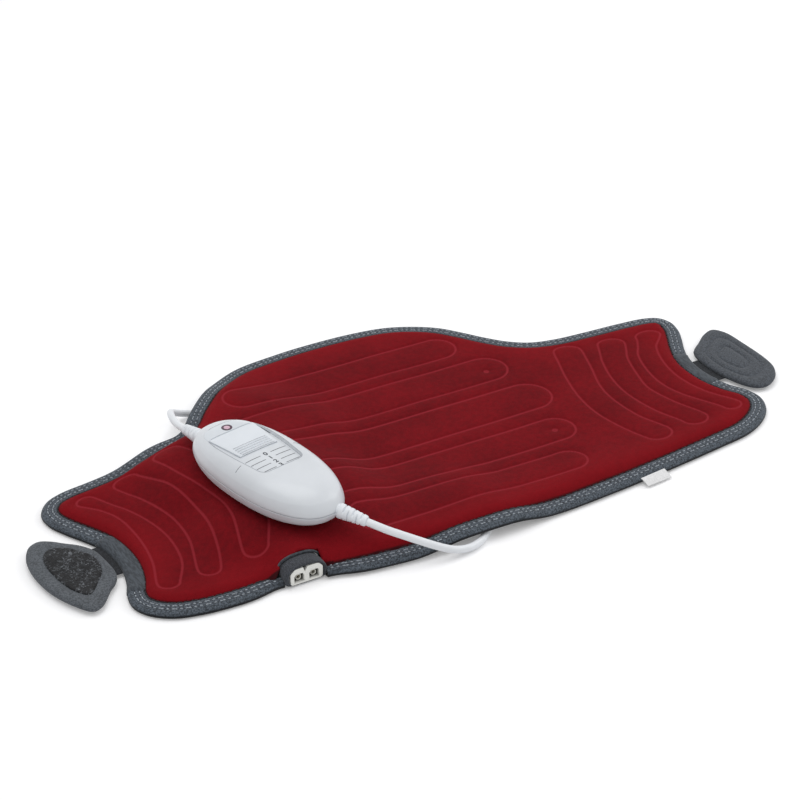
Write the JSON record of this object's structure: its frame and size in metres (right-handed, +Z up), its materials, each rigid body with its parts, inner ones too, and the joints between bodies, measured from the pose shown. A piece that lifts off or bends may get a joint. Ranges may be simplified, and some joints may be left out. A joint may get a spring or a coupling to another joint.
{
  "type": "heating pad with controller",
  "caption": "Waist-shaped electric heating pad with bound edge, end tabs and edge socket, and an oval slide-switch controller on its leads resting on it.",
  "frame": {"origin": "centre of the pad and its tabs in plan, on the surface the pad lies on", "axes": "+X along the pad towards the tab without a visible hook pad, +Y towards the edge with the raised middle, +Z up"},
  "size_m": [0.6, 0.3052, 0.0501],
  "materials": {
    "plush": "short plush with embossed lines",
    "felt": "felt binding with a double row of stitches",
    "lining": "plain woven lining",
    "fleece": "needled fleece",
    "hook": "hook fastener",
    "tag": "satin ribbon, unprinted",
    "wire": "silicone insulated heating wire",
    "shell": "satin moulded plastic",
    "window": "smooth translucent plastic",
    "lead": "smooth white sheath",
    "relief": "soft moulded white",
    "housing": "moulded plastic",
    "board": "laminate",
    "dark": "moulded plastic",
    "terminal": "moulded plastic",
    "capacitor": "dipped coating",
    "lamp": "tinted lens",
    "steel": "plain",
    "pin": "nickel plated",
    "contact": "tinned"
  },
  "bodies": {
    "pad": {"bottom_cover": "lining", "lower_fleece": "fleece", "upper_fleece": "fleece", "top_cover": "plush", "edge_binding": "felt", "label_tag": "tag", "socket_sleeve": "felt", "socket_housing": "housing", "socket_contact_left": "contact", "socket_contact_right": "contact", "heating_wire": "wire", "thermal_cutout": "housing", "temperature_sensor": "terminal", "case_bottom": "shell", "case_top": "shell", "case_screw_back": "steel", "case_screw_front": "steel", "status_window": "window", "relief_pad_lead": "relief", "relief_mains_lead": "relief", "circuit_board": "board", "status_lamp": "lamp", "switch_block": "dark", "fuse": "steel", "capacitor": "capacitor", "terminal_block_back": "terminal", "terminal_block_front": "terminal", "plug_body": "lead", "plug_pin_left": "pin", "plug_pin_right": "pin", "pad_coupling": "lead", "pad_lead": "lead", "mains_lead": "lead", "mains_coil": "lead", "mains_tail": "lead"},
    "slider": {"switch_slider": "shell"},
    "left_tab": {"left_tab": "felt", "left_hook_pad": "hook"},
    "right_tab": {"right_tab": "felt", "right_hook_pad": "hook"}
  },
  "joints": [
    {"name": "switch_slide", "type": "slide", "parent": "pad", "child": "slider", "axis": [0.1874, -0.9823, 0], "range_m": [0, 0.0177]},
    {"name": "left_tab_fold", "type": "hinge", "parent": "pad", "child": "left_tab", "pos_m": [-0.2475, -0.05504, 0.0022], "axis": [0, 1, 0], "range_deg": [0, 95]},
    {"name": "right_tab_fold", "type": "hinge", "parent": "pad", "child": "right_tab", "pos_m": [0.2501, -0.04004, 0.0022], "axis": [0, -1, 0], "range_deg": [0, 95]}
  ]
}
